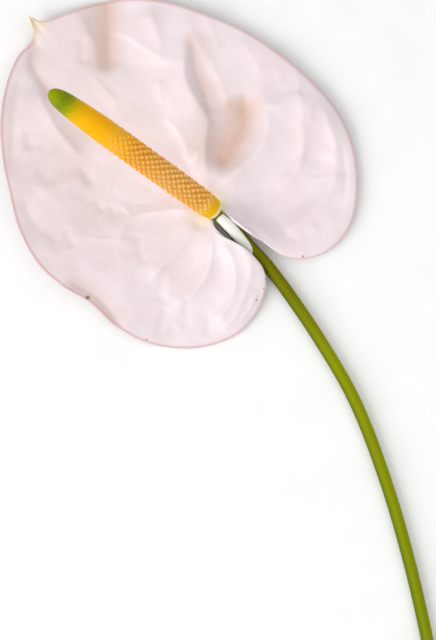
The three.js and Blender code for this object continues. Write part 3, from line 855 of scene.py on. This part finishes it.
right_depth = np.interp(along_stem[nearest], highlight_along, highlight_right) - across
highlight_depth = np.where(outward[:, 2] > 0, np.minimum(left_depth, right_depth), -STEM_RADIUS)
keep_number(stem, "highlight_depth", highlight_depth)
print("vertices in the pale stretch:", int((highlight_depth > 0).sum()))

# %% [markdown]
# ## Finish of the spathe
#
# A spathe is living tissue with a waxy skin: satin gloss, a little light carried inside, and a
# blush that turns dusty pink along the very edge. The warm beige in the creases is painted shade.

# %% Waxy bract
SPOTS = [
    # place, radius in mm and colour of the small blemishes near the margin
    ((-50.8, -34.6), 1.1, "8a5a3c"),
    ((20.2, -27.2), 0.5, "b98a6a"),
    ((19.4, -31.0), 0.45, "c08c60"),
    ((16.6, -35.6), 0.6, "bf9068"),
    ((-27.4, -51.4), 0.5, "b07a5c"),
    ((35.2, -18.2), 0.7, "b5847a"),
]
SPOT_CORE = 0.4
# Where each tint is full and where it is gone: mm from the margin, share outward, mm from the tip
EDGE_TINT = (0.2, 1.5)
ROOT_TINT = (0.02, 0.09)
TIP_PLACE = (-73.4, 75, 8)
TIP_TINT = (2 * MM, 9 * MM)
# Blotches of the blush are about 17 mm wide, meshes of the vein net 4 mm and the skin's grain 1 mm
BLOTCHES_PER_METRE = 60
NET_PER_METRE = 260
CELLS_PER_METRE = 900

bract, tree, surface = new_material("waxy_bract")
coords = add_node(tree, "ShaderNodeTexCoord").outputs["Object"]
painted_crease_shade = add_node(tree, "ShaderNodeAttribute", attribute_name="valley").outputs["Fac"]
from_edge = add_node(tree, "ShaderNodeAttribute", attribute_name="edge_distance").outputs["Fac"]
from_root = add_node(tree, "ShaderNodeAttribute", attribute_name="share_out").outputs["Fac"]
from_tip = add_node(
    tree, "ShaderNodeVectorMath", {0: coords, 1: Vector(in_frame(TIP_PLACE))}, operation="DISTANCE"
).outputs["Value"]
flat_coords = add_node(
    tree, "ShaderNodeVectorMath", {0: coords, 1: Vector((1, 1, 0))}, operation="MULTIPLY"
).outputs["Vector"]

blotches = add_node(
    tree, "ShaderNodeTexNoise", {"Vector": coords, "Scale": BLOTCHES_PER_METRE, "Detail": 5}
)
bract_colour = add_node(
    tree, "ShaderNodeValToRGB", {"Fac": blotches.outputs["Fac"]}, [(0.3, "ecdddf"), (0.7, "f4e8ec")]
).outputs["Color"]
# Painted shade: warm beige over the blush in the creases, strongest where a crease is deepest
bract_colour = tinted(tree, bract_colour, painted_crease_shade, 1, 0, "d8b4a0", 0.85, easing="LINEAR")
bract_colour = tinted(tree, bract_colour, from_edge, *EDGE_TINT, "d3a3a0", 0.6)
bract_colour = tinted(tree, bract_colour, from_tip, *TIP_TINT, "fbeccf", 0.8)
bract_colour = tinted(tree, bract_colour, from_root, *ROOT_TINT, "f0e3b4", 0.6)
for (spot_x, spot_y), spot_radius, spot_colour in SPOTS:
    spot_place = Vector(in_frame((spot_x, spot_y, 0)))
    from_spot = add_node(
        tree, "ShaderNodeVectorMath", {0: flat_coords, 1: spot_place}, operation="DISTANCE"
    ).outputs["Value"]
    spot_reach = spot_radius * MM
    bract_colour = tinted(tree, bract_colour, from_spot, SPOT_CORE * spot_reach, spot_reach, spot_colour, 0.8)

net = add_node(
    tree, "ShaderNodeTexVoronoi", {"Vector": coords, "Scale": NET_PER_METRE}, feature="DISTANCE_TO_EDGE"
)
cells = add_node(tree, "ShaderNodeTexNoise", {"Vector": coords, "Scale": CELLS_PER_METRE, "Detail": 2})
veins = add_node(
    tree, "ShaderNodeBump", {"Height": net.outputs["Distance"], "Strength": 0.3, "Distance": 0.0004}
)
skin = add_node(
    tree,
    "ShaderNodeBump",
    {"Height": cells.outputs["Fac"], "Strength": 0.15, "Distance": 0.0001, "Normal": veins.outputs["Normal"]},
)
wax = add_node(
    tree,
    "ShaderNodeBsdfPrincipled",
    {
        "Base Color": bract_colour,
        "Roughness": 0.42,
        "IOR": 1.45,
        "Subsurface Weight": 0.35,
        "Subsurface Radius": (1.0, 0.75, 0.65),
        "Subsurface Scale": 0.0008,
        "Coat Weight": 0.1,
        "Coat Roughness": 0.3,
        "Normal": skin.outputs["Normal"],
    },
)
tree.links.new(wax.outputs["BSDF"], surface)
spathe.data.materials.clear()
spathe.data.materials.append(bract)
print("waxy bract:", len(tree.nodes), "nodes")

# %% [markdown]
# ## Finish of the spadix
#
# The ripe florets near the root are peach orange, with paler tops that carry a painted highlight,
# and ochre gaps darkened further with painted shade. Further out they are still closed, smooth
# and golden yellow, and the tip is unripe and green.

# %% Spadix flesh and florets
ALONG_STOPS = [
    (0.0, "f0bc10"),
    (0.055, "eeb208"),
    (0.085, "eeb656"),
    (0.3, "eebc6a"),
    (0.5, "f2b23e"),
    (0.62, "fbb100"),
    (0.8, "fcb600"),
    (0.86, "e0b400"),
    (0.895, "9ca200"),
    (0.93, "7c8a00"),
    (1.0, "a2aa00"),
]
# Painted shade: the gaps are darkened past their ochre, since the spadix casts no shadow, not even on itself
GAP_SHADE_STOPS = [(0.12, "e0b884"), (0.34, "f8ecd8"), (0.5, "ffffff")]
GAP_SHADE_STRENGTH = 0.9
# The knob tops are paler, partly their own colour and partly a painted highlight
KNOB_HIGHLIGHT_COLOUR = "ffca80"
KNOB_LIFT = (0.45, 0.9)
KNOB_STRENGTH = 0.4
# The colour's grain and the tip's specks are about half a millimetre wide
GRAIN_PER_METRE = 2200
GRAIN_SHIFT = 9.0
SPECK_RANGE = (0.5, 0.62)
SPECK_STRENGTH = 0.6
SPECK_LAYER = 3
GREEN_START, GREEN_FULL = 70, 78
COLLAR = (1.0, 1.8)
COLLAR_STRENGTH = 0.9


def spadix_flesh(tree, coords, along):
    """Colour along the spadix, its bands broken up by a fine grain."""
    grain = add_node(tree, "ShaderNodeTexNoise", {"Vector": coords, "Scale": GRAIN_PER_METRE, "Detail": 1})
    shift = add_node(
        tree,
        "ShaderNodeMath",
        {0: grain.outputs["Fac"], 1: GRAIN_SHIFT, 2: -GRAIN_SHIFT / 2},
        operation="MULTIPLY_ADD",
    )
    shifted = add_node(tree, "ShaderNodeMath", {0: along, 1: shift.outputs[0]}, operation="ADD")
    share = add_node(tree, "ShaderNodeMath", {0: shifted.outputs[0], 1: SPADIX_LENGTH}, operation="DIVIDE")
    return add_node(tree, "ShaderNodeValToRGB", {"Fac": share.outputs[0]}, ALONG_STOPS).outputs["Color"]


def ochre_and_shaded_gaps(tree, base, lift):
    """Ochre and painted shade in the gaps between the florets, which cast no shadow on each other."""
    gap_shade = add_node(tree, "ShaderNodeValToRGB", {"Fac": lift}, GAP_SHADE_STOPS)
    shaded = add_node(
        tree,
        "ShaderNodeMix",
        {"Factor": GAP_SHADE_STRENGTH, COLOUR_A: base, COLOUR_B: gap_shade.outputs["Color"]},
        data_type="RGBA",
        blend_type="MULTIPLY",
    )
    return shaded.outputs[COLOUR_OUT]


def pale_knobs_with_highlight(tree, base, along, lift):
    """A paler colour on the tops of the ripe florets, partly their own and partly painted highlight, and none
    on the stipe.
    """
    knob = add_node(
        tree,
        "ShaderNodeMapRange",
        {
            "Value": lift,
            "From Min": KNOB_LIFT[0],
            "From Max": KNOB_LIFT[1],
            "To Min": 0,
            "To Max": KNOB_STRENGTH,
        },
    )
    ripe = add_node(
        tree,
        "ShaderNodeMapRange",
        {"Value": along, "From Min": RIPE_END, "From Max": SMOOTH_START, "To Min": 1, "To Max": 0},
    )
    past_stipe = add_node(
        tree,
        "ShaderNodeMapRange",
        {"Value": along, "From Min": STIPE_LENGTH - 1, "From Max": STIPE_LENGTH + 1},
    )
    pale = add_node(
        tree, "ShaderNodeMath", {0: knob.outputs["Result"], 1: ripe.outputs["Result"]}, operation="MULTIPLY"
    )
    pale = add_node(
        tree, "ShaderNodeMath", {0: pale.outputs[0], 1: past_stipe.outputs["Result"]}, operation="MULTIPLY"
    )
    topped = add_node(
        tree,
        "ShaderNodeMix",
        {"Factor": pale.outputs[0], COLOUR_A: base, COLOUR_B: linear(KNOB_HIGHLIGHT_COLOUR)},
        data_type="RGBA",
    )
    return topped.outputs[COLOUR_OUT]


def green_specks(tree, base, coords, along):
    """Dark green specks on the unripe tip."""
    speck = add_node(
        tree,
        "ShaderNodeTexNoise",
        {"Vector": coords, "Scale": GRAIN_PER_METRE, "Detail": 2, "W": SPECK_LAYER},
        noise_dimensions="4D",
    )
    dark_speck = add_node(
        tree,
        "ShaderNodeMapRange",
        {
            "Value": speck.outputs["Fac"],
            "From Min": SPECK_RANGE[0],
            "From Max": SPECK_RANGE[1],
            "To Min": 0,
            "To Max": SPECK_STRENGTH,
        },
    )
    unripe = add_node(
        tree,
        "ShaderNodeMapRange",
        {"Value": along, "From Min": GREEN_START, "From Max": GREEN_FULL},
    )
    speckled = add_node(
        tree,
        "ShaderNodeMath",
        {0: dark_speck.outputs["Result"], 1: unripe.outputs["Result"]},
        operation="MULTIPLY",
    )
    mottled = add_node(
        tree,
        "ShaderNodeMix",
        {"Factor": speckled.outputs[0], COLOUR_A: base, COLOUR_B: linear("5f7c00")},
        data_type="RGBA",
    )
    return mottled.outputs[COLOUR_OUT]


def spadix_material(name, roughness):
    """The colour of the spadix, laid on step by step, with a soft skin."""
    material, tree, surface = new_material(name)
    coords = add_node(tree, "ShaderNodeTexCoord").outputs["Object"]
    along = add_node(tree, "ShaderNodeAttribute", attribute_name="along").outputs["Fac"]
    lift = add_node(tree, "ShaderNodeAttribute", attribute_name="lift").outputs["Fac"]
    colour = spadix_flesh(tree, coords, along)
    colour = ochre_and_shaded_gaps(tree, colour, lift)
    colour = pale_knobs_with_highlight(tree, colour, along, lift)
    colour = green_specks(tree, colour, coords, along)
    colour = tinted(tree, colour, along, *COLLAR, "faf0cc", COLLAR_STRENGTH, easing="LINEAR")
    skin = add_node(
        tree,
        "ShaderNodeBsdfPrincipled",
        {
            "Base Color": colour,
            "Roughness": roughness,
            "Specular IOR Level": 0.1,
            "Subsurface Weight": 0.1,
            "Subsurface Radius": (1.0, 0.5, 0.2),
            "Subsurface Scale": 0.0006,
        },
    )
    tree.links.new(skin.outputs["BSDF"], surface)
    print(name, "has", len(tree.nodes), "nodes")
    return material


# The florets' skin is a little glossier than the flesh between them
core.data.materials.append(spadix_material("spadix_flesh", roughness=0.5))
florets.data.materials.clear()
florets.data.materials.append(spadix_material("floret_skin", roughness=0.4))

# %% [markdown]
# ## Finish of the stem
#
# The stem is smooth and green, dark olive near the joint and fresher below, with fine lengthwise
# streaks. Its right side, away from the light, is darkened with painted shade. The upper side of
# the swollen neck is nearly white, a painted highlight.

# %% Stem rind
# Noise along and around: a streak is 25 mm long, and about five lie in each radian round the stem
STREAK_SCALE = (0.04, 5, 1)
# Where each tint is full and where it is gone, in mm across the stem for the painted shade and in mm into the
# painted highlight
PAINTED_SHADE_SIDE = (2.4, 0.2)
NECK_HIGHLIGHT_FADE = (0.3, -0.25)

rind, tree, surface = new_material("stem_rind")
along = add_node(tree, "ShaderNodeAttribute", attribute_name="along").outputs["Fac"]
across = add_node(tree, "ShaderNodeAttribute", attribute_name="across").outputs["Fac"]
around = add_node(tree, "ShaderNodeAttribute", attribute_name="around").outputs["Fac"]
painted_neck_highlight = add_node(tree, "ShaderNodeAttribute", attribute_name="highlight_depth").outputs["Fac"]
share = add_node(tree, "ShaderNodeMath", {0: along, 1: float(along_stem[-1])}, operation="DIVIDE")
green = add_node(
    tree,
    "ShaderNodeValToRGB",
    {"Fac": share.outputs[0]},
    [(0.0, "6e6a00"), (0.08, "6c6600"), (0.14, "727000"), (0.24, "8e9400"), (0.6, "7e8c06"), (1.0, "748604")],
).outputs["Color"]
streak_place = add_node(tree, "ShaderNodeCombineXYZ", {"X": along, "Y": around})
streak_coords = add_node(
    tree,
    "ShaderNodeVectorMath",
    {0: streak_place.outputs["Vector"], 1: Vector(STREAK_SCALE)},
    operation="MULTIPLY",
)
streaks = add_node(
    tree, "ShaderNodeTexNoise", {"Vector": streak_coords.outputs["Vector"], "Scale": 1, "Detail": 4}
)
green = tinted(tree, green, streaks.outputs["Fac"], 1, 0, "a9b000", 0.3, easing="LINEAR")
# Painted shade: the stem's right side, away from the light, is laid a darker green
green = tinted(tree, green, across, *PAINTED_SHADE_SIDE, "4e5e00", 0.7)
# Painted highlight: the upper side of the neck is laid nearly white
green = tinted(tree, green, painted_neck_highlight, *NECK_HIGHLIGHT_FADE, "fafcf4", 0.97)
ribs = add_node(
    tree, "ShaderNodeBump", {"Height": streaks.outputs["Fac"], "Strength": 0.2, "Distance": 0.0003}
)
peel = add_node(
    tree,
    "ShaderNodeBsdfPrincipled",
    {
        "Base Color": green,
        "Roughness": 0.5,
        "Specular IOR Level": 0.06,
        "Subsurface Weight": 0.08,
        "Subsurface Radius": (0.5, 1.0, 0.2),
        "Subsurface Scale": 0.001,
        "Normal": ribs.outputs["Normal"],
    },
)
tree.links.new(peel.outputs["BSDF"], surface)
stem.data.materials.clear()
stem.data.materials.append(rind)
print("stem rind:", len(tree.nodes), "nodes")

# %% [markdown]
# ## The cut
#
# The cut shows the pith: pale and fairly matt, dotted with the darker ends of the fibre bundles,
# which lie about half a millimetre apart.

# %% Pith at the cut
BUNDLES_PER_METRE = 2200
FACING_CUT = 0.99
PITH_REACH = 0.9

pith, tree, surface = new_material("cut_pith")
coords = add_node(tree, "ShaderNodeTexCoord").outputs["Object"]
bundles = add_node(tree, "ShaderNodeTexVoronoi", {"Vector": coords, "Scale": BUNDLES_PER_METRE})
flesh = add_node(
    tree, "ShaderNodeValToRGB", {"Fac": bundles.outputs["Distance"]}, [(0.1, "a9b173"), (0.35, "dfe5b8")]
)
cut = add_node(tree, "ShaderNodeBsdfPrincipled", {"Base Color": flesh.outputs["Color"], "Roughness": 0.6})
tree.links.new(cut.outputs["BSDF"], surface)
stem.data.materials.append(pith)
cut_normal = Vector(stem_heading - CUT_SLANT * right).normalized()
end_place = Vector(in_frame(stem_end))
pith_faces = 0
for face in stem.data.polygons:
    on_cut = face.normal.dot(cut_normal) > FACING_CUT
    if on_cut and (face.center - end_place).length < STEM_RADIUS * MM * PITH_REACH:
        face.material_index = 1
        pith_faces += 1
print("pith faces:", pith_faces)

# %% [markdown]
# ## Hand the pieces to the frame
#
# Each fine piece stands for its solid and rides on the one body.
#
# The picture shows no shadow of the spadix on the blade, so the spadix is set not to cast one.
# That is a choice for this picture, and not how a real flower would look under this light.

# %% Ride and replace
core.visible_shadow = False
florets.visible_shadow = False
for piece, node in ((spathe, "spathe"), (core, "spadix"), (florets, "spadix"), (stem, "stem")):
    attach(piece, "root")
    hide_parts(node)
